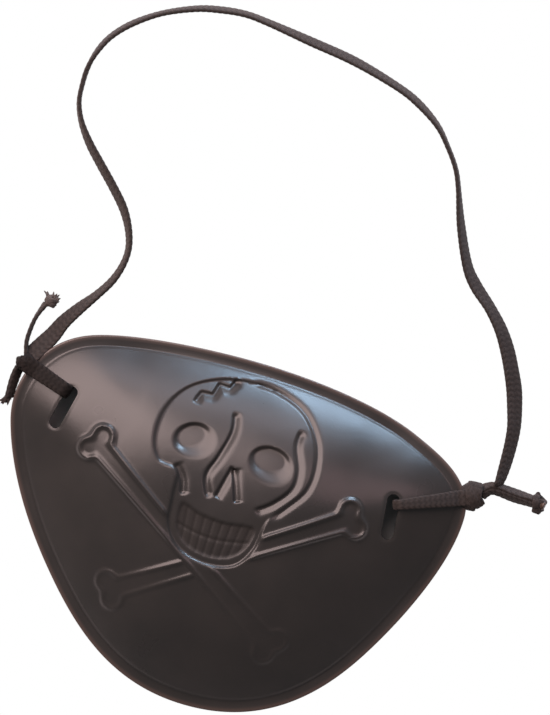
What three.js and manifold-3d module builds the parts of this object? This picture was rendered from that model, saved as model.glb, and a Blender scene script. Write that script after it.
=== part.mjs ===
// A moulded costume eye patch: a thin domed plastic face with a flat flange round it and a slot at each
// corner, and one length of flat braided elastic that is knotted round the bridge outside each slot.
// Millimetres. +X runs from the left corner to the right corner, +Y towards the brow and +Z out of the
// front. The patch lies on its flange at Z = 0, with the origin under the middle of the moulded face.
import * as THREE from "three";
import { mergeVertices } from "three/addons/utils/BufferGeometryUtils.js";
import Module from "manifold-3d";

const wasm = await Module();
wasm.setup();

// ---- driving dimensions -------------------------------------------------------------------------------
const WALL = 0.9; // thickness of the moulding
const FLANGE = 1.7; // width of the flat flange round the dome
const DOME = 10.4; // rise of the dome above the flange
const DOME_SPREAD = 2.3; // how far the flat of the dome spreads before it turns down
const DOME_TOP = { x: 0, y: 2.5 };
// The elastic under a corner lifts it: in full close to the knot, then fading with distance.
const EAR = { lift: 1.6, full: 3, reach: 21 };
const GAP = 0.3; // clearance between a loop's ends and its knot
const LOOP_GAP = 0.45; // clearance between a loop and the moulding

const ELASTIC = { width: 3, thick: 0.9 }; // flat braided elastic
const SLOT = { length: 7.6, width: 2.1 };
const PIVOT = { y: 19.15, z: 1.9 }; // the line through both knots that the strap swings about

// The rim, clockwise from the top: a point, the way the edge runs there in degrees, and the lengths of
// the handles that arrive and leave.
const RIM = [
  { x: -2.95, y: 29.2, way: 0, arrive: 7, leave: 11 },
  { x: 27.55, y: 24.4, way: -24, arrive: 8, leave: 5 },
  { x: 38.84, y: 13.0, way: -91, arrive: 6.5, leave: 8 },
  { x: 29.05, y: -12.9, way: -122, arrive: 9, leave: 9 },
  { x: 2.55, y: -29.2, way: 180, arrive: 14, leave: 12 },
  { x: -24.45, y: -14.9, way: 131, arrive: 11, leave: 11 },
  { x: -38.4, y: 9.3, way: 104, arrive: 8, leave: 4 },
  { x: -36.65, y: 20.2, way: 57, arrive: 3.5, leave: 3 },
  { x: -28.95, y: 26.3, way: 19, arrive: 4, leave: 7 },
];

// At each corner: the middle of the slot and the way it runs, the point where the elastic bears on the
// slot's outer edge, and the knot.
const LEFT = {
  slot: { x: -30.2, y: 13.6, way: 76 },
  bears: { x: -30.85, y: 15.25 },
  knot: { x: -38.95, y: PIVOT.y, z: PIVOT.z, radius: 1.6, length: 2.4 },
};
const RIGHT = {
  slot: { x: 26.75, y: 10.3, way: 95 },
  bears: { x: 27.55, y: 12.1 },
  knot: { x: 39.65, y: 17.1, z: PIVOT.z, radius: 1.85, length: 2.2 },
};

const SEGMENTS = 72; // facets round the dome
const STRAP_STEPS = 80;
const STRAP_Z = 1.55; // the strap stands on its edge, so its middle is half its width up

// The strap's line from the left knot, round the brow side and back to the right knot.
const STRAP_ROUTE = [
  [-37.45, 21.45], [-36.6, 22.9], [-35.6, 24.9], [-34.3, 27.3], [-32.4, 30.1], [-30.1, 33.1],
  [-28.2, 36.1], [-27.15, 39.2], [-26.95, 42.1], [-27.8, 45.1], [-29.5, 48.1], [-32.1, 51.1],
  [-35.0, 54.1], [-37.8, 57.1], [-40.0, 60.2], [-41.2, 63.2], [-41.45, 66.2], [-41.3, 69.2],
  [-40.5, 72.2], [-38.9, 75.2], [-36.0, 78.2], [-31.7, 81.1], [-26.5, 83.3], [-22.5, 84.2],
  [-18.4, 84.6], [-14.4, 84.25], [-6.5, 83.05], [1.5, 81.75], [9.5, 79.5], [13.6, 77.7],
  [17.5, 75.0], [20.1, 72.0], [22.2, 69.0], [23.5, 66.0], [25.6, 60.0], [28.3, 54.0],
  [30.6, 51.0], [33.8, 48.1], [36.5, 45.1], [38.5, 42.0], [40.0, 39.0], [41.3, 36.0],
  [42.2, 33.0], [42.9, 30.0], [43.15, 27.0], [43.15, 23.8], [42.95, 20.85],
];

// The loose ends: the line of each, the height it lies at, its section, and the knot or melted blob that it
// ends in. A section's width stands up and its thickness lies level.
const LEFT_LONG_TAIL = {
  route: [[-39.2, 21.25], [-39.45, 22.6], [-39.35, 24.2], [-38.9, 26.8], [-38.3, 28.6]],
  z: 1.5,
  section: { width: 2.6, thick: 0.8 },
  end: { x: -37.35, y: 30.2, z: 1.3, radius: 1.1, length: 1.9 },
};
const LEFT_SHORT_TAIL = {
  route: [[-39.35, 17.1], [-39.6, 15.6], [-39.65, 13.6], [-39.6, 11.2]],
  z: 1.1,
  section: { width: 1.7, thick: 1.3 },
};
const RIGHT_TAIL = {
  route: [[41.35, 18.45], [42.0, 18.95], [42.9, PIVOT.y], [46.0, PIVOT.y - 0.1], [49.1, 18.9]],
  z: 1.7,
  section: { width: 1.6, thick: 2.0 },
  end: { x: 50.35, y: 18.75, z: 1.6, radius: 1.45, length: 1.8 },
};

const radians = THREE.MathUtils.degToRad;
const wayTo = (from, to) => THREE.MathUtils.radToDeg(Math.atan2(to.y - from.y, to.x - from.x));
const pointAt = (x, y, way, length) =>
  new THREE.Vector2(x + length * Math.cos(radians(way)), y + length * Math.sin(radians(way)));

// ---- the rim's outline and the dome over it ------------------------------------------------------------
function rimShape() {
  const shape = new THREE.Shape();
  shape.moveTo(RIM[0].x, RIM[0].y);
  RIM.forEach((from, i) => {
    const to = RIM[(i + 1) % RIM.length];
    const out = pointAt(from.x, from.y, from.way, from.leave);
    const into = pointAt(to.x, to.y, to.way, -to.arrive);
    shape.bezierCurveTo(out.x, out.y, into.x, into.y, to.x, to.y);
  });
  return shape;
}

const outer = rimShape().getSpacedPoints(720).slice(0, -1);
const inner = outer.map((p, i) => {
  const along = outer[(i + 1) % outer.length].clone().sub(outer.at(i - 1)).normalize();
  return new THREE.Vector2(p.x + along.y * FLANGE, p.y - along.x * FLANGE);
});

// How far an outline lies from the dome's top, as a function of the angle round it.
function reachOf(outline) {
  const turn = 2 * Math.PI;
  const seen = outline
    .map((p) => new THREE.Vector2(p.x - DOME_TOP.x, p.y - DOME_TOP.y))
    .map((p) => ({ angle: p.angle(), reach: p.length() }))
    .sort((a, b) => a.angle - b.angle);
  return (angle) => {
    const wanted = (angle + turn) % turn;
    const next = Math.max(0, seen.findIndex((s) => s.angle > wanted));
    const [a, b] = [seen.at(next - 1), seen[next]];
    const share = ((wanted - a.angle + turn) % turn) / ((b.angle - a.angle + turn) % turn);
    return THREE.MathUtils.lerp(a.reach, b.reach, share);
  };
}
const outerReach = reachOf(outer);
const innerReach = reachOf(inner);

// The dome's rise, where share is 0 at its top and 1 at the flange.
const domeRise = (share) => DOME * (1 - Math.min(share, 1) ** DOME_SPREAD);

function lift(x, y) {
  const away = Math.min(...[LEFT, RIGHT].map(({ knot }) => Math.hypot(x - knot.x, y - knot.y)));
  return EAR.lift * (1 - THREE.MathUtils.smoothstep(away, EAR.full, EAR.reach));
}

// The height of the moulding's front or back at a point; the back's dome is smaller by the wall.
function skin(x, y, side) {
  const at = new THREE.Vector2(x - DOME_TOP.x, y - DOME_TOP.y);
  const inset = side === "back" ? WALL : 0;
  const share = at.length() / (innerReach(at.angle()) - inset);
  return WALL - inset + domeRise(share) + lift(x, y);
}

// ---- solids and meshes ---------------------------------------------------------------------------------
function closed(geometry) {
  const bare = geometry.clone();
  for (const name of ["normal", "uv"]) bare.deleteAttribute(name);
  return mergeVertices(bare, 1e-3);
}

function solidOf(geometry) {
  const bare = closed(geometry);
  return new wasm.Manifold(
    new wasm.Mesh({
      numProp: 3,
      vertProperties: bare.attributes.position.array,
      triVerts: new Uint32Array(bare.index.array),
    }),
  );
}

function geometryOf(solid) {
  const mesh = solid.getMesh();
  return new THREE.BufferGeometry()
    .setAttribute("position", new THREE.BufferAttribute(mesh.vertProperties, 3))
    .setIndex(new THREE.BufferAttribute(mesh.triVerts, 1));
}

const plastic = new THREE.MeshStandardMaterial({ color: 0x2a2624, roughness: 0.28, metalness: 0 });
const braid = new THREE.MeshStandardMaterial({ color: 0x2b2523, roughness: 0.8, metalness: 0 });

function named(name, geometry, material) {
  const mesh = new THREE.Mesh(geometry, material);
  mesh.name = name;
  return mesh;
}

// The moulded face: a round shell turned on a lathe, then stretched out to the rim. Past a share of 1 the
// lathe's radius counts across the flange, and 2 is its edge.
function moulding() {
  const shares = [0, 0.25, 0.45, 0.6, 0.72, 0.82, 0.9, 0.95, 0.985, 1];
  const round = 0.2;
  const profile = [
    ...shares.map((s) => new THREE.Vector2(s, domeRise(s))),
    new THREE.Vector2(2 - round / FLANGE, 0),
    new THREE.Vector2(2, round),
    new THREE.Vector2(2, WALL - round),
    new THREE.Vector2(2 - round / FLANGE, WALL),
    ...shares.toReversed().map((s) => new THREE.Vector2(s, WALL + domeRise(s))),
  ];
  const geometry = new THREE.LatheGeometry(profile, SEGMENTS).rotateX(Math.PI / 2);
  const at = geometry.attributes.position;
  for (let i = 0; i < at.count; i++) {
    const from = new THREE.Vector2(at.getX(i), at.getY(i));
    const onBack = i % profile.length < shares.length;
    const dome = innerReach(from.angle()) - (onBack ? WALL : 0);
    const flange = outerReach(from.angle()) - dome;
    const share = from.length();
    const reach = Math.min(share, 1) * dome + Math.max(share - 1, 0) * flange;
    const to = from.setLength(reach).add(DOME_TOP);
    at.setXYZ(i, to.x, to.y, at.getZ(i) + lift(to.x, to.y));
  }
  const slots = [LEFT, RIGHT].map(({ slot }) => slotCutter(slot));
  return geometryOf(slots.reduce((face, slot) => face.subtract(slot), solidOf(geometry)));
}

function slotCutter({ x, y, way }) {
  const half = SLOT.width / 2;
  const run = SLOT.length / 2 - half;
  const stadium = new THREE.Shape()
    .moveTo(-run, -half)
    .lineTo(run, -half)
    .absarc(run, 0, half, -Math.PI / 2, Math.PI / 2)
    .lineTo(-run, half)
    .absarc(-run, 0, half, Math.PI / 2, (3 * Math.PI) / 2);
  const depth = 2 * DOME;
  const geometry = new THREE.ExtrudeGeometry(stadium, { depth, bevelEnabled: false, curveSegments: 6 });
  return solidOf(geometry.rotateZ(radians(way)).translate(x, y, -1));
}

// The elastic at a corner: from the knot over the front, round the slot's edge and back behind the face to
// the knot. It is drawn in the plane that it runs in, run being the distance from the slot's edge, and
// extruded to the elastic's width.
function anchorLoop({ bears, knot }) {
  const off = LOOP_GAP + ELASTIC.thick / 2;
  const way = wayTo(bears, knot);
  const legs = Math.hypot(knot.x - bears.x, knot.y - bears.y) - knot.length / 2 - GAP;
  const asides = [-1.6, -0.8, 0, 0.8, 1.6];
  const around = [-0.5, 0, 0.5].flatMap((along) => asides.map((aside) => ({ along, aside })));
  const heights = (run, side) =>
    around.map(({ along, aside }) => {
      const p = pointAt(bears.x, bears.y, way, run + along);
      const q = pointAt(p.x, p.y, way + 90, aside);
      return skin(q.x, q.y, side);
    });
  const front = (run) => Math.max(...heights(run, "front")) + off;
  const back = (run) => Math.min(...heights(run, "back")) - off;
  const start = 1.8;
  const steps = 10;
  const runs = Array.from({ length: steps + 1 }, (_, i) => start + ((legs - start) * i) / steps);
  const over = runs.map((run) => new THREE.Vector2(run, front(run)));
  const under = runs.map((run) => new THREE.Vector2(run, back(run)));

  const middle = new THREE.Vector2(0.5, (front(0.5) + back(0.5)) / 2);
  const reach = middle.x + SLOT.width / 2;
  const rise = front(0.5) - middle.y;
  const turn = [75, 105, 135, 165, 195, 225, 255, 285].map(radians).map(
    (angle) => new THREE.Vector2(middle.x + reach * Math.cos(angle), middle.y + rise * Math.sin(angle)),
  );
  return bandAlong([...over.toReversed(), ...turn, ...under], { ...bears, way });
}

function bandAlong(line, { x, y, way }) {
  const half = ELASTIC.thick / 2;
  const curve = new THREE.SplineCurve(line);
  const steps = 60;
  const sides = [[], []];
  for (let i = 0; i <= steps; i++) {
    const p = curve.getPoint(i / steps);
    const t = curve.getTangent(i / steps);
    sides[0].push(new THREE.Vector2(p.x - t.y * half, p.y + t.x * half));
    sides[1].unshift(new THREE.Vector2(p.x + t.y * half, p.y - t.x * half));
  }
  const band = new THREE.Shape([...sides[0], ...sides[1]]);
  return new THREE.ExtrudeGeometry(band, { depth: ELASTIC.width, bevelEnabled: false })
    .translate(0, 0, -ELASTIC.width / 2)
    .rotateX(Math.PI / 2)
    .rotateZ(radians(way))
    .translate(x, y, 0);
}

// A knot drawn up tight, as a barrel whose axis runs the way given.
function barrel({ x, y, z, radius, length }, way) {
  const profile = [
    [0, -0.5], [0.55, -0.5], [0.85, -0.42], [1, -0.2],
    [1, 0.2], [0.85, 0.42], [0.55, 0.5], [0, 0.5],
  ];
  return new THREE.LatheGeometry(profile.map(([r, l]) => new THREE.Vector2(r * radius, l * length)), 16)
    .rotateZ(radians(way - 90))
    .translate(x, y, z);
}

// A flat strip of elastic along a level line, with chamfered edges and its width standing up.
function strip(route, z, { width, thick }, steps) {
  const [w, t, c] = [width / 2, thick / 2, thick / 4];
  const section = new THREE.Shape(
    [[c - w, -t], [w - c, -t], [w, c - t], [w, t - c], [w - c, t], [c - w, t], [-w, t - c], [-w, c - t]].map(
      ([x, y]) => new THREE.Vector2(x, y),
    ),
  );
  const path = new THREE.CatmullRomCurve3(route.map(([x, y]) => new THREE.Vector3(x, y, z)));
  return new THREE.ExtrudeGeometry(section, { steps, extrudePath: path });
}

const tail = ({ route, z, section }) => strip(route, z, section, 2 * route.length);

const part = new THREE.Group();
part.add(
  named("moulded_face", moulding(), plastic),
  named("left_anchor_loop", anchorLoop(LEFT), braid),
  named("right_anchor_loop", anchorLoop(RIGHT), braid),
  named("left_knot", barrel(LEFT.knot, wayTo(LEFT.bears, LEFT.knot)), braid),
  named("right_knot", barrel(RIGHT.knot, wayTo(RIGHT.bears, RIGHT.knot)), braid),
  named("elastic_strap", strip(STRAP_ROUTE, STRAP_Z, ELASTIC, STRAP_STEPS), braid),
  named("left_long_tail", tail(LEFT_LONG_TAIL), braid),
  named("left_long_tail_knot", barrel(LEFT_LONG_TAIL.end, 60), braid),
  named("left_short_tail", tail(LEFT_SHORT_TAIL), braid),
  named("right_tail", tail(RIGHT_TAIL), braid),
  named("right_tail_knot", barrel(RIGHT_TAIL.end, 0), braid),
);

export default part;
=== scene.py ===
"""The looks of a moulded eye patch: its glossy face, with a skull and crossbones in relief, and the
braided elastic that is tied to it. Lengths are in millimetres until a mesh is made, +X runs to the
right corner, +Y to the brow, +Z out of the front."""

import math

import bpy
import numpy as np
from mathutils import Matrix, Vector


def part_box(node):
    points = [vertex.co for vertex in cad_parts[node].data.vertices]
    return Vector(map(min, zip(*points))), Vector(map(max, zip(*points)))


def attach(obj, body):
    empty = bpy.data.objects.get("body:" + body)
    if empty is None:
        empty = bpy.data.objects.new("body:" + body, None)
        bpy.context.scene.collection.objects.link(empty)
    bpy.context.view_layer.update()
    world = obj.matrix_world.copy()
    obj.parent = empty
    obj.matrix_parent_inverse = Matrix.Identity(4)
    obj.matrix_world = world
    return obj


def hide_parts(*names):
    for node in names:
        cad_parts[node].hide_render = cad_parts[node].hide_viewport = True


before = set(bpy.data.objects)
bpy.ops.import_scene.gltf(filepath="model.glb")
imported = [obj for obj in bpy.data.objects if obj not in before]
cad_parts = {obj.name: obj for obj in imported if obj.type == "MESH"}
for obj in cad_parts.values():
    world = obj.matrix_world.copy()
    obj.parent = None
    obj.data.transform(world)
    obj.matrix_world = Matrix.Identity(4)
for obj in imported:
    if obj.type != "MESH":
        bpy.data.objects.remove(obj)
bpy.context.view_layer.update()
MM = 0.001


def knot_middle(node):
    """The middle of a knot's box in the CAD, to the hundredth of a millimetre."""
    return np.round(np.mean(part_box(node), axis=0) / MM, 2)


# ---- the part's own sizes, as in part.mjs -----------------------------------------------------------
WALL = 0.9
FLANGE = 1.7
DOME = 10.4
DOME_SPREAD = 2.3
DOME_TOP = np.array([0.0, 2.5])
# The elastic under a corner lifts it: in full close to the knot, then fading with distance.
EAR_LIFT, EAR_FULL, EAR_REACH = 1.6, 3.0, 21.0
ELASTIC_WIDTH = 3.0
ELASTIC_THICK = 0.8  # 0.1 less than the solid, which leaves room for the braid's relief
SLOT_LENGTH, SLOT_WIDTH = 7.6, 2.1
LEFT_KNOT = knot_middle("left_knot")
RIGHT_KNOT = knot_middle("right_knot")

# The rim, clockwise from the top: x, y, the way the edge runs, and the handles that arrive and leave.
RIM = [
    (-2.95, 29.2, 0, 7, 11),
    (27.55, 24.4, -24, 8, 5),
    (38.84, 13.0, -91, 6.5, 8),
    (29.05, -12.9, -122, 9, 9),
    (2.55, -29.2, 180, 14, 12),
    (-24.45, -14.9, 131, 11, 11),
    (-38.4, 9.3, 104, 8, 4),
    (-36.65, 20.2, 57, 3.5, 3),
    (-28.95, 26.3, 19, 4, 7),
]
# The slots: the middle of each, and the way it runs.
LEFT_SLOT = (-30.2, 13.6, 76)
RIGHT_SLOT = (26.75, 10.3, 95)

# Where the middle of the strap's width runs over the table, from the left knot to the right one.
STRAP_ROUTE = [
    (-37.45, 21.45), (-36.6, 22.9), (-35.6, 24.9), (-34.3, 27.3), (-32.4, 30.1), (-30.1, 33.1),
    (-28.2, 36.1), (-27.15, 39.2), (-26.95, 42.1), (-27.8, 45.1), (-29.5, 48.1), (-32.1, 51.1),
    (-35.0, 54.1), (-37.8, 57.1), (-40.0, 60.2), (-41.2, 63.2), (-41.45, 66.2), (-41.3, 69.2),
    (-40.5, 72.2), (-38.9, 75.2), (-36.0, 78.2), (-31.7, 81.1), (-26.5, 83.3), (-22.5, 84.2),
    (-18.4, 84.6), (-14.4, 84.25), (-6.5, 83.05), (1.5, 81.75), (9.5, 79.5), (13.6, 77.7),
    (17.5, 75.0), (20.1, 72.0), (22.2, 69.0), (23.5, 66.0), (25.6, 60.0), (28.3, 54.0),
    (30.6, 51.0), (33.8, 48.1), (36.5, 45.1), (38.5, 42.0), (40.0, 39.0), (41.3, 36.0),
    (42.2, 33.0), (42.9, 30.0), (43.15, 27.0), (43.15, 23.8), (42.95, 20.85),
]
# How far the strap leans over from standing on its edge, in degrees, at some of the route's points.
STRAP_LEAN = [
    (0, 64), (1, 66), (2, 60), (3, 48), (4, 39), (5, 22), (6, 20), (7, 15), (8, 14), (9, 17),
    (10, 23), (12, 23), (13, 20), (14, 10), (15, 5), (17, 0), (18, 14), (20, 17), (21, 13), (22, 17),
    (23, 20), (24, 18), (25, 19), (26, 29), (27, 29), (28, 22), (29, 23), (30, 14), (31, 6), (33, 7),
    (34, 24), (35, 31), (36, 43), (37, 36), (38, 44), (39, 54), (40, 56), (41, 63), (42, 58), (43, 49),
    (45, 41), (46, 33), (47, 20),
]


def heading(degrees):
    """The cosine and the sine of an angle in degrees."""
    turn = math.radians(degrees)
    return math.cos(turn), math.sin(turn)


# ---- camera, floor and light ------------------------------------------------------------------------
def add(name, data):
    piece = bpy.data.objects.new(name, data)
    bpy.context.scene.collection.objects.link(piece)
    return piece


def make_camera():
    """Straight above the patch, and turned, so that the patch's right corner is the lower one."""
    middle, far, height, turn, sensor = (1.44, 30.7), 600.0, 119.2, 15.2, 36
    camera = add("camera", bpy.data.cameras.new("camera"))
    camera.location = Vector((middle[0], middle[1], far + 1)) * MM
    camera.rotation_euler = (0, 0, math.radians(turn))
    camera.data.sensor_width = sensor
    camera.data.lens = sensor * far / height
    camera.data.clip_start = 0.01
    bpy.context.scene.camera = camera


def area_light(name, azimuth, elevation, far, size, radiance, colour):
    """A soft panel facing the patch; its azimuth is clockwise from the brow side."""
    light = bpy.data.lights.new(name, "AREA")
    light.shape = "RECTANGLE"
    light.size, light.size_y = size[0] * MM, size[1] * MM
    light.energy = math.pi * radiance * light.size * light.size_y
    light.color = colour
    lamp = add(name, light)
    (north, east), (level, up) = heading(azimuth), heading(elevation)
    lamp.location = Vector((east * level, north * level, up)) * far * MM
    lamp.rotation_euler = (-lamp.location).to_track_quat("-Z", "Y").to_euler()


def make_floor(name, corners, height, tone, cut_out):
    """A plain floor. Where it is a cut-out, the camera sees it pure white, without shadows."""
    floor = bpy.data.meshes.new(name)
    floor.from_pydata([Vector((x, y, height)) * MM for x, y in corners], [], [range(len(corners))])
    piece = add(name, floor)
    pale = bpy.data.materials.new(name)
    pale.use_nodes = True
    tree = pale.node_tree
    shader = tree.nodes["Principled BSDF"]
    shader.inputs["Base Color"].default_value = (tone, tone, tone, 1)
    shader.inputs["Roughness"].default_value = 0.9
    shader.inputs["Specular IOR Level"].default_value = 0.1
    if cut_out:
        kinds = ("LightPath", "Emission", "MixShader")
        ray, white, mix = (tree.nodes.new("ShaderNode" + kind) for kind in kinds)
        tree.links.new(ray.outputs["Is Camera Ray"], mix.inputs[0])
        tree.links.new(shader.outputs[0], mix.inputs[1])
        tree.links.new(white.outputs[0], mix.inputs[2])
        tree.links.new(mix.outputs[0], tree.nodes["Material Output"].inputs["Surface"])
    floor.materials.append(pale)


def make_stage():
    side = 3000
    make_floor("floor", [(-side, -side), (side, -side), (side, side), (-side, side)], 0, 0.93, True)
    # the floor under the patch, seen through its slots, keeps its real shadow and is also a darker sheet
    # (0.45 against 0.93): painted shade
    under = [(30, 2), (34, 12), (25, 21), (-2, 26), (-33.5, 20), (-33.5, 4)]
    make_floor("floor_under_patch", under, 0.02, 0.45, False)

    world = bpy.data.worlds.new("world")
    world.use_nodes = True
    sky = world.node_tree.nodes["Background"]
    sky.inputs["Color"].default_value = (0.96, 0.98, 1.0, 1)
    sky.inputs["Strength"].default_value = 0.27
    bpy.context.scene.world = world
    bpy.context.scene.view_settings.view_transform = "Standard"

    area_light("ceiling", -49, 44, 600, (620, 430), 8.7, (1.0, 0.82, 0.785))
    area_light("window", 9, 6, 700, (250, 160), 36.0, (0.50, 0.75, 1.0))
    area_light("lamp", 33, 50, 600, (280, 210), 2.5, (1.0, 0.68, 0.70))
    area_light("window_top", -4, 25, 700, (370, 160), 4.9, (0.92, 0.90, 1.0))


make_camera()
make_stage()


# ---- lines and meshes -------------------------------------------------------------------------------
def smooth(t):
    t = np.clip(t, 0, 1)
    return t * t * (3 - 2 * t)


def spline(points, per=12):
    """A smooth line through points, with `per` steps between each two."""
    p = np.array(points, float)
    p = np.vstack([2 * p[0] - p[1], p, 2 * p[-1] - p[-2]])
    t = np.linspace(0, 1, per, endpoint=False)[:, None]
    out = []
    for a, b, c, d in zip(p, p[1:], p[2:], p[3:]):
        bend, twist = 2 * a - 5 * b + 4 * c - d, 3 * b - a - 3 * c + d
        out.append(0.5 * (2 * b + (c - a) * t + bend * t**2 + twist * t**3))
    return np.vstack([*out, p[-2:-1]])


def measured(line):
    """How far along the line each of its points is."""
    return np.concatenate([[0], np.cumsum(np.linalg.norm(np.diff(line, axis=0), axis=1))])


def spaced(line, step):
    """The line again with even steps."""
    along = measured(line)
    at = np.linspace(0, along[-1], max(2, round(along[-1] / step) + 1))
    return np.stack([np.interp(at, along, line[:, k]) for k in range(line.shape[1])], axis=1)


def shade_smooth(mesh, sharp=50):
    mesh.polygons.foreach_set("use_smooth", [True] * len(mesh.polygons))
    mesh.set_sharp_from_angle(angle=math.radians(sharp))


def mesh_piece(name, points, faces, material):
    mesh = bpy.data.meshes.new(name)
    mesh.from_pydata((np.asarray(points) * MM).tolist(), [], faces)
    mesh.validate()
    shade_smooth(mesh)
    mesh.materials.append(material)
    piece = add(name, mesh)
    return piece


# ---- the moulded face's shape -----------------------------------------------------------------------
def rim_outline():
    """The rim as a closed line of even points, clockwise."""
    line = []
    for (x0, y0, way0, _, leave), (x1, y1, way1, arrive, _) in zip(RIM, RIM[1:] + RIM[:1]):
        a, d = np.array([x0, y0]), np.array([x1, y1])
        b = a + leave * np.array(heading(way0))
        c = d - arrive * np.array(heading(way1))
        t = np.linspace(0, 1, 120, endpoint=False)[:, None]
        line.append((1 - t) ** 3 * a + 3 * t * (1 - t) ** 2 * b + 3 * t**2 * (1 - t) * c + t**3 * d)
    line = np.vstack([*line, line[0][:1]])
    return spaced(line, 0.25)[:-1]


OUTER = rim_outline()
_ALONG = np.roll(OUTER, -1, 0) - np.roll(OUTER, 1, 0)
_ALONG /= np.linalg.norm(_ALONG, axis=1)[:, None]
INNER = OUTER + FLANGE * np.stack([_ALONG[:, 1], -_ALONG[:, 0]], axis=1)


def reach_of(outline):
    """How far an outline lies from the dome's top, by the angle round it."""
    away = outline - DOME_TOP
    angle, far = np.arctan2(away[:, 1], away[:, 0]), np.hypot(*away.T)
    return lambda at: np.interp(at, *zip(*sorted(zip(angle, far))), period=2 * math.pi)


outer_reach = reach_of(OUTER)
inner_reach = reach_of(INNER)


def ear_lift(x, y):
    away = np.minimum(*(np.hypot(x - knot[0], y - knot[1]) for knot in (LEFT_KNOT, RIGHT_KNOT)))
    return EAR_LIFT * (1 - smooth((away - EAR_FULL) / (EAR_REACH - EAR_FULL)))


def dome_rise(share, reach, fillet=0.7, fillet_power=0.4):
    """The dome's rise over the flange, eased into the flange by a fillet."""
    share = np.clip(share, 0, 1)
    inboard = (1 - share) * reach
    return DOME * (1 - share**DOME_SPREAD) * smooth(inboard / fillet) ** fillet_power


def polar(x, y):
    """The angle round the dome's top, and how far from it."""
    x, y = x - DOME_TOP[0], y - DOME_TOP[1]
    return np.arctan2(y, x), np.hypot(x, y)


def from_polar(angle, far):
    return DOME_TOP[0] + far * np.cos(angle), DOME_TOP[1] + far * np.sin(angle)


def front_height(x, y):
    """The height of the front's skin, without its relief."""
    angle, far = polar(x, y)
    reach = inner_reach(angle)
    return WALL + dome_rise(far / reach, reach) + ear_lift(x, y)


def back_height(x, y):
    """The height of the hollow's skin behind the dome."""
    angle, far = polar(x, y)
    reach = inner_reach(angle) - WALL
    return dome_rise(far / reach, reach) + ear_lift(x, y)


# ---- the relief on the front ------------------------------------------------------------------------
def near_line(x, y, line):
    """How far each point is from a line, how far along it the nearest place is, from 0 to 1, and the side
    of it that the point is on: 1 is the left of someone who walks along the line, -1 is the right."""
    best, where, side = np.full(x.shape, 1e9), np.zeros(x.shape), np.zeros(x.shape)
    along = measured(line)
    for i, (a, b) in enumerate(zip(line, line[1:])):
        d = b - a
        t = np.clip(((x - a[0]) * d[0] + (y - a[1]) * d[1]) / max(d @ d, 1e-9), 0, 1)
        far = np.hypot(x - a[0] - t * d[0], y - a[1] - t * d[1])
        closer = far < best
        best[closer] = far[closer]
        side[closer] = np.sign(d[0] * (y - a[1]) - d[1] * (x - a[0]))[closer]
        where[closer] = ((along[i] + t * (along[i + 1] - along[i])) / along[-1])[closer]
    return best, where, side


def groove(x, y, points, deep, per=8, steep=0.55, gentle=0.8, fade=0.07):
    """How deep a groove is that drops steeply at its line, rises gently on the line's left and fades out
    over a share of its length at each end."""
    far, where, side = near_line(x, y, spline(points, per))
    ends = smooth(where / fade) * smooth((1 - where) / fade)
    return deep * np.where(side > 0, np.exp(-((far / gentle) ** 2)), smooth(1 - far / steep)) * ends


def smooth_min(a, b, ease):
    """The lesser of two, eased where they are about the same."""
    share = np.clip(0.5 + 0.5 * (b - a) / ease, 0, 1)
    return b + (a - b) * share - ease * share * (1 - share)


def bone(x, y, start, end):
    """How far each point is outside a bone: a waisted shaft with two knuckles at each end."""
    shaft, flare, knuckle, spread, past_tip, ease = 1.35, 0.35, 1.75, 1.55, 0.7, 0.9
    start, end = np.array(start), np.array(end)
    far, where, _ = near_line(x, y, np.array([start, end]))
    out = far - (shaft + flare * (2 * where - 1) ** 2)
    along = (end - start) / np.linalg.norm(end - start)
    aside = np.array([-along[1], along[0]])
    for tip, sign in ((start, -1), (end, 1)):
        for side in (-1, 1):
            c = tip + sign * past_tip * along + side * spread * aside
            out = smooth_min(out, np.hypot(x - c[0], y - c[1]) - knuckle, ease)
    return out


def outside_of(x, y, outline):
    """How far each point is outside a closed line; inside it, how deep it is, as a negative number."""
    line = np.vstack([outline, outline[:1]])
    far, _, _ = near_line(x, y, line)
    inside = np.zeros(x.shape, bool)
    for (x0, y0), (x1, y1) in zip(line, line[1:]):
        crosses = (y0 > y) != (y1 > y)
        with np.errstate(divide="ignore", invalid="ignore"):
            inside ^= crosses & (x < (x1 - x0) * (y - y0) / (y1 - y0) + x0)
    return np.where(inside, -far, far)


def closed(points, per=8):
    """A smooth closed line through points."""
    n = len(points)
    line = spline([*points[-2:], *points, *points[:2]], per)
    return line[2 * per : (2 + n) * per]


SKULL = closed([
    (-9.3, 8.6), (-12.6, 9.6), (-14.3, 13.0), (-13.9, 18.0), (-11.0, 22.4), (-5.6, 25.1), (0.4, 25.7),
    (6.2, 24.6), (10.3, 21.4), (12.5, 16.4), (12.4, 11.0), (9.6, 7.3), (7.2, 4.4), (6.3, -0.6),
    (3.8, -4.1), (-0.8, -5.0), (-5.4, -3.7), (-8.3, -0.4), (-8.9, 4.4),
])
JAW = closed([
    (-7.2, 4.0), (-3.6, 3.1), (0.4, 2.7), (5.6, 3.0), (5.4, -0.6), (3.0, -3.2), (-0.8, -4.0),
    (-4.8, -3.0), (-7.2, -0.4),
], 6)
BONES = [((-22.8, 9.2), (12.6, -15.2)), ((20.2, 8.0), (-14.4, -13.2))]
# The eyes: the middle of each, its half width and half height, and how far it is turned.
EYES = [(-7.6, 14.0, 3.4, 2.8, 12), (5.6, 13.2, 3.8, 2.9, -14)]
CROWN = [
    (-1.6, 25.7), (3.4, 25.3), (8.4, 23.2), (11.6, 19.2),
    (12.7, 14.8), (12.2, 10.8), (9.8, 7.4), (7.4, 4.6),
]
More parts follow.
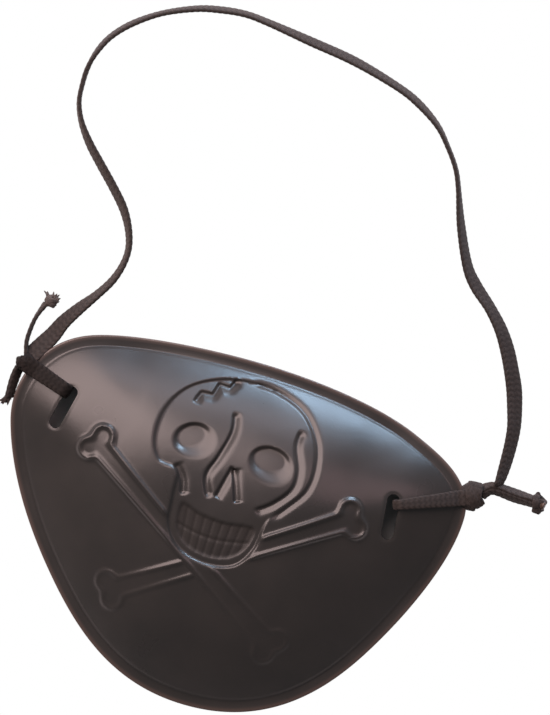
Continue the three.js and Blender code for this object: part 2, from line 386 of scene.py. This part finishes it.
# The grooves of the nose, the brow and both cheeks: the line of each, and its depth.
FEATURES = [
    ([(-0.5, 11.6), (-1.2, 9.0), (-2.0, 5.9)], 0.5),
    ([(-0.3, 11.4), (0.5, 9.0), (1.5, 5.9)], 0.5),
    ([(-2.6, 20.4), (-2.1, 17.0), (-3.2, 12.6), (-4.4, 9.0), (-3.1, 5.4)], 0.54),
    ([(8.9, 20.4), (8.7, 17.4), (10.0, 13.6), (9.8, 10.4), (7.4, 7.4), (4.6, 5.4)], 0.52),
    ([(-9.8, 9.6), (-8.2, 7.6), (-7.4, 5.0)], 0.48),
]
CRACK = [(-3.6, 25.6), (-4.4, 23.8), (-6.2, 23.9), (-6.8, 22.0), (-8.7, 21.9), (-9.4, 19.9)]
BITE = [(-8, 0.6), (-3.5, -0.5), (0.5, -0.7), (6, 0.2)]
TEETH = 8
BONE_RIDGE, BONE_RISE = 0.46, 0.12
PANEL_DEEP, EYE_DEEP, CROWN_DEEP, CRACK_DEEP = 0.52, 0.64, 0.46, 0.5
MOUTH_DEEP, TOOTH_LINE_DEEP, BITE_DEEP = 0.26, 0.09, 0.1


def bones_relief(x, y):
    """The two bones, each a raised outline round a low middle. The second passes under the first. Both
    are fainter towards the bottom of the patch."""
    inset, ridge_half, faintest, gap = 0.1, 0.4, 0.35, 0.9
    strength = faintest + (1 - faintest) * smooth((y + 13) / 15)
    height, upper = None, None
    for start, end in BONES:
        out = bone(x, y, start, end)
        ridge = BONE_RIDGE * np.exp(-(((out + inset) / ridge_half) ** 2))
        line = (ridge + BONE_RISE * smooth(0.5 - out)) * strength
        height = line if upper is None else np.maximum(height, line * smooth(upper / gap))
        upper = out
    return height


def eye_socket(x, y, eye):
    """How deep a socket is. Its wall is steepest at the upper left."""
    brim, steepest, gentler = 1.12, 0.2, 0.75
    middle_x, middle_y, half_width, half_height, turn = eye
    c, s = heading(turn)
    u, v = (x - middle_x) * c + (y - middle_y) * s, (y - middle_y) * c - (x - middle_x) * s
    ring = np.hypot(u / half_width, v / half_height)
    lower_right = (0.6 * u / half_width - 0.8 * v / half_height) / (2 * ring + 1e-6) + 0.5
    wall = steepest + gentler * smooth(lower_right)
    return EYE_DEEP * smooth((brim - ring) / wall)


def relief(x, y):
    """How far the emblem stands out of the front: a plain skull, sunk a little, over two crossed bones."""
    skull = outside_of(x, y, SKULL)
    # the bones fade out over the last millimetre before the skull
    height = bones_relief(x, y) * smooth(skull)

    # the skull is a sunk panel that gets shallower to its upper right, where a groove marks the crown
    shallower = smooth((x + 3) / 13) * smooth((y - 1) / 6)
    height -= PANEL_DEEP * smooth(0.5 - skull / 0.55) * (1 - shallower)
    for eye in EYES:
        height -= eye_socket(x, y, eye)
    height -= groove(x, y, CROWN, CROWN_DEEP, gentle=0.6)
    for points, deep in FEATURES:
        height -= groove(x, y, points, deep)
    height -= groove(x, y, CRACK, CRACK_DEEP, per=2)

    # the teeth: a sunk band crossed by fine grooves
    jaw = outside_of(x, y, JAW)
    height -= MOUTH_DEEP * smooth(-jaw / 0.7)
    in_mouth = smooth(-jaw / 0.8)
    # the grooves between the teeth stand a little further apart at their top than at their foot
    for i in range(TEETH):
        gap = np.array([(-5.9 + 1.55 * i, 3.4 - 0.1 * i), (-5.4 + 1.3 * i, -4.0)])
        far, _, _ = near_line(x, y, gap)
        height -= TOOTH_LINE_DEEP * np.exp(-((far / 0.24) ** 2)) * in_mouth
    far, _, _ = near_line(x, y, spline(BITE, 8))
    return height - BITE_DEEP * np.exp(-((far / 0.28) ** 2)) * in_mouth


# ---- the moulded face -------------------------------------------------------------------------------
def slot_outline(slot, arc=12):
    """A slot's edge, as a closed line with round ends."""
    x, y, way = slot
    half = SLOT_WIDTH / 2
    run = SLOT_LENGTH / 2 - half
    c, s = heading(way)
    ends = np.linspace(-math.pi / 2, math.pi / 2, arc)
    local = [(run + half * math.cos(a), half * math.sin(a)) for a in ends]
    local += [(-run - half * math.cos(a), -half * math.sin(a)) for a in ends]
    return np.array([(x + u * c - v * s, y + u * s + v * c) for u, v in local])


def middling(count):
    """Steps from -1 to 1 that are finer in the middle."""
    t = np.linspace(-1, 1, count + 1)
    return 0.84 * t + 0.16 * t**3


def disc(count_u, count_v):
    """A grid over a disc, finer in the middle: each point's angle and its share of the way out."""
    u, v = np.meshgrid(middling(count_u), middling(count_v), indexing="ij")
    x, y = u * np.sqrt(1 - v * v / 2), v * np.sqrt(1 - u * u / 2)
    return np.arctan2(y, x).ravel(), np.minimum(np.hypot(x, y), 1).ravel()


def border(count_u, count_v):
    """The grid's outside points in order, anticlockwise."""
    at = lambda i, j: i * (count_v + 1) + j
    return (
        [at(i, 0) for i in range(count_u)]
        + [at(count_u, j) for j in range(count_v)]
        + [at(i, count_v) for i in range(count_u, 0, -1)]
        + [at(0, j) for j in range(count_v, 0, -1)]
    )


def grid_faces(count_u, count_v, first=0, flip=False):
    at = lambda i, j: first + i * (count_v + 1) + j
    faces = [
        (at(i, j), at(i + 1, j), at(i + 1, j + 1), at(i, j + 1))
        for i in range(count_u)
        for j in range(count_v)
    ]
    return [f[::-1] for f in faces] if flip else faces


def front_skin(angle, share):
    """The front of the dome with its relief and with rounded edges at its slots."""
    drop, round_off = 0.16, 0.3
    x, y = from_polar(angle, share * inner_reach(angle))
    slots = np.minimum(*(outside_of(x, y, slot_outline(s)) for s in (LEFT_SLOT, RIGHT_SLOT)))
    edge = drop * np.exp(-((np.maximum(slots, 0) / round_off) ** 2))
    return np.stack([x, y, front_height(x, y) + relief(x, y) - edge], 1)


def back_skin(angle, share):
    """The back of the dome, which follows the sunk skull, so that the wall is nowhere pierced."""
    follow, ease = 0.45, 2.4
    x, y = from_polar(angle, share * (inner_reach(angle) - WALL))
    sunk = follow * smooth(0.5 - outside_of(x, y, SKULL) / ease)
    return np.stack([x, y, back_height(x, y) - sunk], 1)


def flange_section():
    """Across the flange from the dome's front round the rim to the dome's back: the share of the flange's
    width, and the height."""
    corner = 0.28
    across = [(0.5, WALL), (1 - 1.3 * corner / FLANGE, WALL)]
    for turn in (22.5, 45, 67.5, 90):
        c, s = heading(turn)
        across.append((1 - corner * (1 - s) / FLANGE, WALL - corner * (1 - c)))
    for turn in (0, 30, 60, 90):
        c, s = heading(turn)
        across.append((1 - corner * (1 - c) / FLANGE, corner * (1 - s)))
    return [*across, (0.4, 0.0)]


def face_mesh(material):
    """A fine grid over the front, a coarse one over the back, and the flange's rings between them."""
    fine_u, fine_v, coarse = 300, 252, 4
    angle, share = disc(fine_u, fine_v)
    points = [front_skin(angle, share)]
    faces = grid_faces(fine_u, fine_v)

    previous = border(fine_u, fine_v)
    count = len(previous)
    angles = angle[previous]
    outer, inner = outer_reach(angles), inner_reach(angles)
    for out, height in flange_section():
        x, y = from_polar(angles, inner + out * (outer - inner))
        first = sum(map(len, points))
        points.append(np.stack([x, y, height + ear_lift(x, y)], 1))
        now = list(range(first, first + count))
        for i in range(count):
            after = (i + 1) % count
            faces.append((previous[i], now[i], now[after], previous[after]))
        previous = now

    # the back's grid is stitched to the flange's fine ring, `coarse` of its steps to one of the grid's
    back_u, back_v = fine_u // coarse, fine_v // coarse
    first = sum(map(len, points))
    points.append(back_skin(*disc(back_u, back_v)))
    faces += grid_faces(back_u, back_v, first, flip=True)
    coarse_ring = [first + i for i in border(back_u, back_v)]
    for i, here in enumerate(coarse_ring):
        there = coarse_ring[(i + 1) % len(coarse_ring)]
        fine = [previous[(i * coarse + k) % count] for k in range(coarse + 1)]
        faces.append((there, *fine[::-1], here))
    return mesh_piece("patch_face", np.vstack(points), faces, material)


def cut_slots(face):
    below, above = -1.0, 14.0
    for slot in (LEFT_SLOT, RIGHT_SLOT):
        outline = slot_outline(slot)
        n = len(outline)
        points = np.vstack([np.c_[outline, np.full(n, z)] for z in (below, above)])
        sides = [(i, (i + 1) % n, n + (i + 1) % n, n + i) for i in range(n)]
        ends = [tuple(range(n))[::-1], tuple(range(n, 2 * n))]
        mesh = bpy.data.meshes.new("cutter")
        mesh.from_pydata((points * MM).tolist(), [], [*ends, *sides])
        cutter = add("cutter", mesh)
        cut = face.modifiers.new("slot", "BOOLEAN")
        cut.operation, cut.object, cut.solver = "DIFFERENCE", cutter, "EXACT"
        bpy.context.view_layer.update()
        evaluated = face.evaluated_get(bpy.context.evaluated_depsgraph_get())
        cut_mesh = bpy.data.meshes.new_from_object(evaluated)
        face.modifiers.clear()
        old, face.data = face.data, cut_mesh
        bpy.data.meshes.remove(old)
        bpy.data.objects.remove(cutter)
    shade_smooth(face.data)


# ---- materials --------------------------------------------------------------------------------------
class Nodes:
    """A material's node tree, with short calls to add a node and to link it."""

    def __init__(self, name):
        self.material = bpy.data.materials.new(name)
        self.material.use_nodes = True
        self.tree = self.material.node_tree
        self.shader = self.tree.nodes["Principled BSDF"]

    def add(self, kind, inputs=None, **settings):
        node = self.tree.nodes.new("ShaderNode" + kind)
        for key, value in settings.items():
            setattr(node, key, value)
        for key, value in (inputs or {}).items():
            if isinstance(value, bpy.types.NodeSocket):
                self.tree.links.new(value, node.inputs[key])
            else:
                node.inputs[key].default_value = value
        return node

    def noise(self, scale, detail=3, rough=0.5):
        where = self.add("TexCoord").outputs["Object"]
        inputs = {"Vector": where, "Scale": scale, "Detail": detail, "Roughness": rough}
        return self.add("TexNoise", inputs).outputs["Fac"]

    def attribute(self, name):
        return self.add("Attribute", attribute_name=name).outputs["Fac"]

    def ramp(self, fac, *stops):
        node = self.add("ValToRGB", {"Fac": fac})
        while len(node.color_ramp.elements) < len(stops):
            node.color_ramp.elements.new(0.5)
        for element, (place, colour) in zip(node.color_ramp.elements, stops):
            element.position = place
            element.color = (*colour, 1)
        return node.outputs["Color"]

    def mix(self, fac, a, b):
        """A colour between a and b. A colour mix has its factor at input 0 and its colours at 6 and 7."""
        colours = [c if isinstance(c, bpy.types.NodeSocket) else (*c, 1) for c in (a, b)]
        node = self.add("Mix", {0: fac, 6: colours[0], 7: colours[1]}, data_type="RGBA")
        return node.outputs[2]

    def bump(self, height, strength, distance, normal=None):
        inputs = {"Height": height, "Strength": strength, "Distance": distance}
        if normal:
            inputs["Normal"] = normal
        return self.add("Bump", inputs).outputs["Normal"]

    def set(self, **sockets):
        for key, value in sockets.items():
            socket = self.shader.inputs[key.replace("_", " ")]
            if isinstance(value, bpy.types.NodeSocket):
                self.tree.links.new(value, socket)
            else:
                socket.default_value = value
        return self.material


def grey(value):
    return (value, value, value)


def moulded_vinyl():
    """Glossy charcoal vinyl with a fine grain, faint rubbed patches, a brown edge that is painted light
    through the thin rim, and matt teeth.
    """
    n = Nodes("moulded_vinyl")
    patches = n.noise(90, 4)
    grain = n.noise(2600, 2)
    waves = n.noise(240, 2)
    rubbed = n.ramp(patches, (0.35, grey(0.0)), (0.75, grey(1.0)))
    body = n.mix(rubbed, (0.0185, 0.0168, 0.0160), (0.025, 0.0217, 0.0203))
    # the brown edge is painted light, as if it shone through the thin rim
    colour = n.mix(n.attribute("rim"), body, (0.060, 0.041, 0.035))
    matt = n.attribute("matt")
    rough = n.mix(matt, n.ramp(patches, (0.3, grey(0.27)), (0.8, grey(0.34))), grey(0.5))
    shine = n.mix(matt, grey(0.38), grey(0.16))
    normal = n.bump(grain, 0.35, 0.00002)
    normal = n.bump(waves, 0.5, 0.00006, normal)
    return n.set(
        Base_Color=colour, Roughness=rough, Normal=normal,
        Specular_IOR_Level=shine, Specular_Tint=(1.0, 0.94, 0.94, 1), IOR=1.5,
    )


def braided_elastic(name, shade, sheen):
    """Dull brown-black braid: fuzzy yarn, its colour lighter on its high places and darker in its low ones.
    """
    n = Nodes(name)
    yarn = n.noise(2400, 3, 0.6)
    patches = n.noise(160, 3)
    # `shade` scales every colour: below 1 it makes a copy in painted shade, above 1 a copy in painted light
    low, middle, high = shade * np.array([
        (0.009, 0.0070, 0.0065), (0.016, 0.0122, 0.0110), (0.034, 0.026, 0.0235),
    ])
    colour = n.mix(n.attribute("height"), n.mix(patches, low, middle), high)
    fibres = n.ramp(yarn, (0.35, grey(0.75)), (0.7, grey(0.95)))
    normal = n.bump(yarn, 0.8, 0.00008)
    return n.set(
        Base_Color=colour, Roughness=fibres, Normal=normal, Specular_IOR_Level=3 * sheen,
        Sheen_Weight=sheen, Sheen_Roughness=0.5, Sheen_Tint=(0.85, 0.72, 0.68, 1),
    )


def melted_end():
    """The browned bead where the elastic's end was melted."""
    n = Nodes("melted_end")
    blotches = n.noise(900, 4)
    colour = n.ramp(blotches, (0.3, (0.02, 0.010, 0.006)), (0.7, (0.075, 0.036, 0.019)))
    rough = n.ramp(blotches, (0.3, grey(0.35)), (0.8, grey(0.6)))
    return n.set(Base_Color=colour, Roughness=rough, Normal=n.bump(blotches, 0.5, 0.0001))


vinyl = moulded_vinyl()
braid = braided_elastic("braided_elastic", 1.0, 0.06)
# a darker copy of the braid for the left anchor band and the left knot: painted shade
shaded_braid = braided_elastic("painted_shade_elastic", 0.45, 0.03)
# a lighter copy of the braid for the long tail's frayed end: painted light caught by the loose fibres
lit_frayed_braid = braided_elastic("painted_light_frayed_elastic", 1.9, 0.1)
melted = melted_end()


def point_values(piece, name, values):
    attribute = piece.data.attributes.new(name, "FLOAT", "POINT")
    attribute.data.foreach_set("value", np.asarray(values, np.float32))


def points_of(piece):
    co = np.zeros(len(piece.data.vertices) * 3)
    piece.data.vertices.foreach_get("co", co)
    return co.reshape(-1, 3) / MM


face = face_mesh(vinyl)
cut_slots(face)
face_x, face_y, face_z = points_of(face).T
face_angle, face_far = polar(face_x, face_y)
# the brown edge (painted light through the thin rim) starts 0.75 mm inside the rim; the matt teeth are on
# the front only
point_values(face, "rim", smooth((face_far - outer_reach(face_angle) + 0.75) / 0.6))
on_front = face_z > front_height(face_x, face_y) - 1.1
point_values(face, "matt", on_front * smooth(-outside_of(face_x, face_y, JAW) / 0.5))
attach(face, "patch")
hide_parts("moulded_face")


# ---- the elastic ------------------------------------------------------------------------------------
BAND_STEP = 0.18
BAND_AROUND = 36
BRAID_PITCH, BRAID_LANES, BRAID_RELIEF = 0.95, 5, 0.075


def unit(v):
    return v / np.linalg.norm(v, axis=-1, keepdims=True)


def band(line, across, width, thick=ELASTIC_THICK):
    """A braided band along a line, its width running `across` at each point: its points, its faces and how
    high each point stands in the braid."""
    line = np.asarray(line, float)
    count = len(line)
    along = unit(np.gradient(line, axis=0))
    across = np.broadcast_to(across, line.shape)
    across = unit(across - (across * along).sum(1, keepdims=True) * along)
    through = np.cross(along, across)
    # both ends are rounded off over their last 0.3 mm
    s = measured(line)
    cut = np.sqrt(1 - (1 - np.clip(np.minimum(s, s[-1] - s) / 0.3, 0.02, 1)) ** 2)[:, None]
    half = np.broadcast_to(np.asarray(width, float) / 2, (count,))[:, None] * (0.4 + 0.6 * cut)
    deep = np.broadcast_to(np.asarray(thick, float) / 2, (count,))[:, None] * cut

    # the section is a flattened round, and its yarns slant one way in one lane and back in the next
    turn = 2 * math.pi * (np.arange(BAND_AROUND) + 0.5) / BAND_AROUND
    u = np.sign(np.cos(turn)) * np.abs(np.cos(turn)) ** 0.75
    v = np.sign(np.sin(turn)) * np.abs(np.sin(turn)) ** 0.6
    lane = (u + 1) / 2 * BRAID_LANES
    inside = lane - np.floor(lane)
    slant = np.where(np.floor(lane) % 2 == 0, 1, -1) * np.sign(v)
    run = s[:, None] / BRAID_PITCH + 0.5 * slant * (inside - 0.5) + 0.25 * np.sign(v)
    high = np.abs(np.sin(math.pi * run)) ** 0.8 * (0.35 + 0.65 * np.sin(math.pi * inside) ** 0.6)
    out = unit(np.stack([u * np.mean(deep), v * np.mean(half)], 1))
    rise = BRAID_RELIEF * (high - 0.6) * cut
    x, y = half * u + rise * out[:, 0], deep * v + rise * out[:, 1]
    points = line[:, None] + x[..., None] * across[:, None] + y[..., None] * through[:, None]
    return points.reshape(-1, 3), *tube_faces(count, BAND_AROUND), high.ravel()


def tube_faces(rings, around):
    """The faces of a closed tube, in a list of one."""
    at = lambda i, k: i * around + k % around
    sides = [
        (at(i, k), at(i, k + 1), at(i + 1, k + 1), at(i + 1, k))
        for i in range(rings - 1)
        for k in range(around)
    ]
    first, last = range(around), range((rings - 1) * around, rings * around)
    return [[*sides, tuple(first)[::-1], tuple(last)]]


def joined(parts):
    points, faces, values = [], [], []
    for part_points, part_faces, part_values in parts:
        first = sum(map(len, points))
        faces += [tuple(first + i for i in face) for face in part_faces]
        points.append(part_points)
        values.append(part_values)
    return np.vstack(points), faces, np.concatenate(values)


def elastic_piece(name, parts, body, *nodes, material=braid):
    """One piece of elastic out of several bands, which rides on a body and may replace some nodes."""
    points, faces, values = joined(parts)
    piece = mesh_piece(name, points, faces, material)
    point_values(piece, "height", values)
    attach(piece, body)
    if nodes:
        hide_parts(*nodes)
    return piece


def lying(route, lean, width=ELASTIC_WIDTH, thick=ELASTIC_THICK, lifts=(0, 0), spread=0.0, per=12):
    """A band that lies along a level route and leans over from its edge, and its middle line. It is lifted
    at its ends, where it comes out of a knot, and spread wider at its start."""
    reach_of_spread, reach_of_lift, ease = 14, 8, 8
    dense = spline(route, per)
    places = measured(dense)[::per]
    line = spaced(dense, BAND_STEP)
    s = measured(line)
    keys = np.array(lean, float)
    angle = np.interp(s, places[keys[:, 0].astype(int)], keys[:, 1])
    window = 2 * ease + 1
    angle = np.radians(np.convolve(np.pad(angle, ease, "edge"), np.full(window, 1 / window), "valid"))
    along = unit(np.gradient(line, axis=0))
    up, flat = np.cos(angle), np.sin(angle)
    across = np.stack([along[:, 1] * flat, -along[:, 0] * flat, up], 1)
    width = width + spread * (1 - smooth(s / reach_of_spread))
    height = width / 2 * np.abs(up) + thick / 2 * np.abs(flat)
    for rise, away in zip(lifts, (s, s[-1] - s)):
        height = height + rise * (1 - smooth(away / reach_of_lift))
    middle = np.c_[line, height]
    return band(middle, across, width, thick), middle


def anchor_band(bears, knot, at_slot, at_knot, thick=0.85):
    """The elastic at a corner: out of the knot, over the front, round the slot's edge and back behind.
    `bears` is the place on the slot's edge that it pulls on."""
    bears, clear, bend = np.array(bears), 0.12, 0.35
    legs = np.linalg.norm(knot[:2] - bears)
    way = (knot[:2] - bears) / legs
    aside = np.array([-way[1], way[0]])

    def surface(run, height, pick, sign):
        """The band's height over or under the moulding at a distance from the slot's edge, and its tilt."""
        half = np.interp(run, [0, legs], [at_slot, at_knot]) / 2
        places = [bears + (run + a) * way + b * aside for a in (-0.4, 0, 0.4) for b in (-half, 0, half)]
        heights = [float(height(*place)) for place in places]
        one_side, other_side = heights[3], heights[5]
        return pick(heights) + sign * (clear + thick / 2), (other_side - one_side) / (2 * half)

    runs = np.linspace(1.0, legs - 0.5, 24)
    front = [(run, *surface(run, front_height, max, 1)) for run in runs]
    back = [(run, *surface(run, back_height, min, -1)) for run in runs]
    top, foot = surface(bend, front_height, max, 1)[0], surface(bend, back_height, min, -1)[0]
    middle, rise, reach = (top + foot) / 2, (top - foot) / 2, bend + clear + thick / 2
    turn = [(bend + reach * c, middle + rise * s, 0.0) for c, s in map(heading, range(90, 271, 15))]
    path = spaced(spline([*front[::-1], *turn, *back], 6), BAND_STEP)
    line = np.c_[bears + path[:, :1] * way, path[:, 1]]
    across = np.c_[np.broadcast_to(aside, line[:, :2].shape), path[:, 2]]
    width = np.interp(path[:, 0], [0, legs], [at_slot, at_knot])
    return band(line, across, width, thick)


def wraps(centre, way, radius, length, turns, width, start=0.0, hand=1, thick=0.75, flat=1.0):
    """Turns of the band round a level line, flattened by `flat` and tucked in at both ends."""
    steps_a_turn = 34
    t = np.linspace(0, 1, max(12, round(turns * steps_a_turn)))
    angle = math.radians(start) + hand * 2 * math.pi * turns * t
    tuck = 0.6 + 0.4 * smooth(t / 0.12) * smooth((1 - t) / 0.12)
    out, up = (radius - thick / 2) * tuck, (radius * flat - thick / 2) * tuck
    axis = np.array([*heading(way), 0])
    side, over = np.array([-axis[1], axis[0], 0]), np.array([0, 0, 1])
    run = (t - 0.5) * max(length - width, 0.1)
    line = np.asarray(centre) + run[:, None] * axis
    line = line + (out * np.cos(angle))[:, None] * side + (up * np.sin(angle))[:, None] * over
    return band(line, axis, width, thick)


def tube(line, radii, sides=7):
    """A round yarn or bead: its points, its faces and, at each point, a height as on the braid."""
    line = np.asarray(line, float)
    along = unit(np.gradient(line, axis=0))
    side = unit(np.cross(along, (0.3, 0.2, 1.0)))
    other = np.cross(along, side)
    turn = 2 * math.pi * np.arange(sides) / sides
    ring = np.cos(turn)[None, :, None] * side[:, None] + np.sin(turn)[None, :, None] * other[:, None]
    points = line[:, None] + ring * np.asarray(radii)[:, None, None]
    height = 0.8
    return points.reshape(-1, 3), *tube_faces(len(line), sides), np.full(len(line) * sides, height)


def tuft(root, way, count, length, spread, seed, thick=0.24):
    """Loose yarns at a cut end of the braid. The table keeps them from going lower than they lie."""
    rng = np.random.default_rng(seed)
    lowest = 0.15
    t = np.linspace(0, 1, 9)[:, None]
    out = []
    for _ in range(count):
        start = np.array(root) + rng.normal(0, 0.22, 3)
        aim = unit(np.array(way, float) + rng.normal(0, spread, 3) * (1, 1, 0.6))
        bend = rng.normal(0, 0.25, 3)
        line = start + (aim * t + bend * t**2) * length * rng.uniform(0.55, 1.0)
        line[:, 2] = np.maximum(line[:, 2], lowest)
        out.append(tube(line, thick * np.sqrt(1.02 - t[:, 0] ** 3) * rng.uniform(0.75, 1.15)))
    return out


def strap():
    """The loop. Its foot on the left is spread flat and lies a little nearer the patch than its solid."""
    out_of_knot, into_tail = LEFT_KNOT[:2] + (0.75, 0.85), [(43.0, 21.0), (42.75, 19.6)]
    route = np.array([out_of_knot, *STRAP_ROUTE[1:-1], *into_tail])
    nearer = np.interp(np.arange(len(route)), [0, 2, 3, 7, 9], [0.1, 0.42, 0.25, 0.16, 0.0])
    to_patch = (0.8, -0.59)
    route += nearer[:, None] * to_patch
    part, middle = lying(route, STRAP_LEAN, lifts=(0.8, 0.3), spread=0.3)
    piece = elastic_piece("strap_band", [part], "strap", "elastic_strap")
    return piece, middle


def anchor_bands():
    left = anchor_band((-30.6, 16.4), LEFT_KNOT, 2.5, 3.0)
    # the left anchor band wears the darker copy of the braid, painted shade
    elastic_piece("left_anchor_band", [left], "patch", "left_anchor_loop", material=shaded_braid)
    right = anchor_band((27.5, 12.6), RIGHT_KNOT, 1.7, 3.0)
    elastic_piece("right_anchor_band", [right], "patch", "right_anchor_loop")


def knots():
    left = LEFT_KNOT + (0.5, 0.0, 0.05)
    right = RIGHT_KNOT + (-0.5, -0.05, 0.0)
    return [
        # the left knot wears the darker copy of the braid, painted shade
        elastic_piece("left_tied_knot", [
            wraps(left, 154, 0.95, 2.2, 1.0, 1.7, 40),
            wraps(left, 165, 1.6, 2.4, 2.2, 1.5, 70, flat=0.95),
            wraps(left, 100, 1.62, 2.9, 1.15, 1.5, 200, -1),
        ], "patch", "left_knot", material=shaded_braid),
        elastic_piece("right_tied_knot", [
            wraps(right, 15, 1.5, 2.4, 1.0, 2.2, 40, flat=0.8),
            wraps(right, 2, 2.5, 3.2, 2.2, 1.9, 80, flat=0.7),
            wraps(right, 48, 2.35, 2.6, 1.25, 1.8, 200, -1, flat=0.78),
        ], "patch", "right_knot"),
    ]


def left_tails():
    """The long tail with its frayed overhand knot, and the short tail with its frayed end."""
    route = [(-38.6, 19.9), (-39.15, 22.2), (-39.15, 24.2), (-38.75, 26.8), (-37.7, 29.6)]
    long_tail, _ = lying(route, [(0, 4), (1, 0), (2, 0), (3, 3), (4, 22)], 2.4, 0.7, lifts=(0.4, 0))
    end = np.array([-37.05, 29.95, 1.35])
    overhand = [
        wraps(end, 60, 0.7, 1.6, 1.0, 1.2, 0),
        wraps(end, 75, 1.1, 2.1, 1.8, 1.0, 40),
        wraps(end, 20, 1.15, 2.0, 0.9, 0.9, 160, -1),
        *tuft(end + (-0.5, 0.5, 0), (-0.6, 0.75, 0.1), 5, 1.2, 0.04, 3, 0.22),
        *tuft(end + (0.3, 0.25, 0), (0.8, 0.5, 0), 46, 0.95, 0.4, 4, 0.26),
    ]
    route = [(-39.2, 18.2), (-39.5, 16.4), (-39.6, 14.6), (-39.6, 12.6)]
    short_tail, _ = lying(route, [(0, 30), (1, 38), (3, 26)], 2.2)
    frayed = tuft((-39.7, 13.1, 1.0), (-0.2, -1, 0), 34, 1.7, 0.12, 7, 0.24)
    return [
        elastic_piece("left_long_tail_band", [long_tail], "patch", "left_long_tail"),
        # the frayed end wears the lighter copy of the braid, painted light
        elastic_piece("left_long_tail_end", overhand, "patch", "left_long_tail_knot", material=lit_frayed_braid),
        elastic_piece("left_short_tail_band", [short_tail, *frayed], "patch", "left_short_tail"),
    ]


def right_tail():
    """The doubled tail, the knot at its end, and the bead where that end was melted."""
    route = [(40.4, 17.6), (41.2, 18.6), (42.1, 19.15), (43.4, 19.2), (46.0, 18.95), (49.6, 18.75)]
    route = np.array(route)
    along = unit(np.gradient(route, axis=0))
    aside = np.stack([-along[:, 1], along[:, 0]], 1)
    leans = {0.5: [(0, 30), (2, 10), (4, 26), (5, 12)], -0.5: [(0, -25), (3, -14), (4, -24), (5, -8)]}
    doubled = [lying(route + side * aside, lean, 2.5)[0] for side, lean in leans.items()]
    end = np.array([50.0, 18.72, 1.55])
    tied = [
        wraps(end, 0, 1.0, 1.7, 1.0, 1.4, 0),
        wraps(end, 72, 1.35, 3.7, 1.9, 1.5, 60),
        wraps(end, 20, 1.55, 2.2, 1.0, 1.2, 150, -1),
    ]
    t = np.linspace(0, 1, 14)
    bead_line = end + np.c_[0.25 + 1.1 * t, -0.15 * t, 0.35 + 0.15 * t]
    bead_radii = 0.95 * np.sqrt(np.clip(1 - (2 * t - 1) ** 2, 0.01, 1)) * (1 + 0.12 * np.sin(9 * t))
    bead = tube(bead_line, bead_radii, 16)
    return [
        elastic_piece("right_tail_bands", doubled, "patch", "right_tail"),
        elastic_piece("right_tail_end", tied, "patch", "right_tail_knot"),
        elastic_piece("right_tail_melted_tip", [bead], "patch", material=melted),
    ]


strap_band, strap_middle = strap()
anchor_bands()
tied = [*knots(), *left_tails(), *right_tail()]
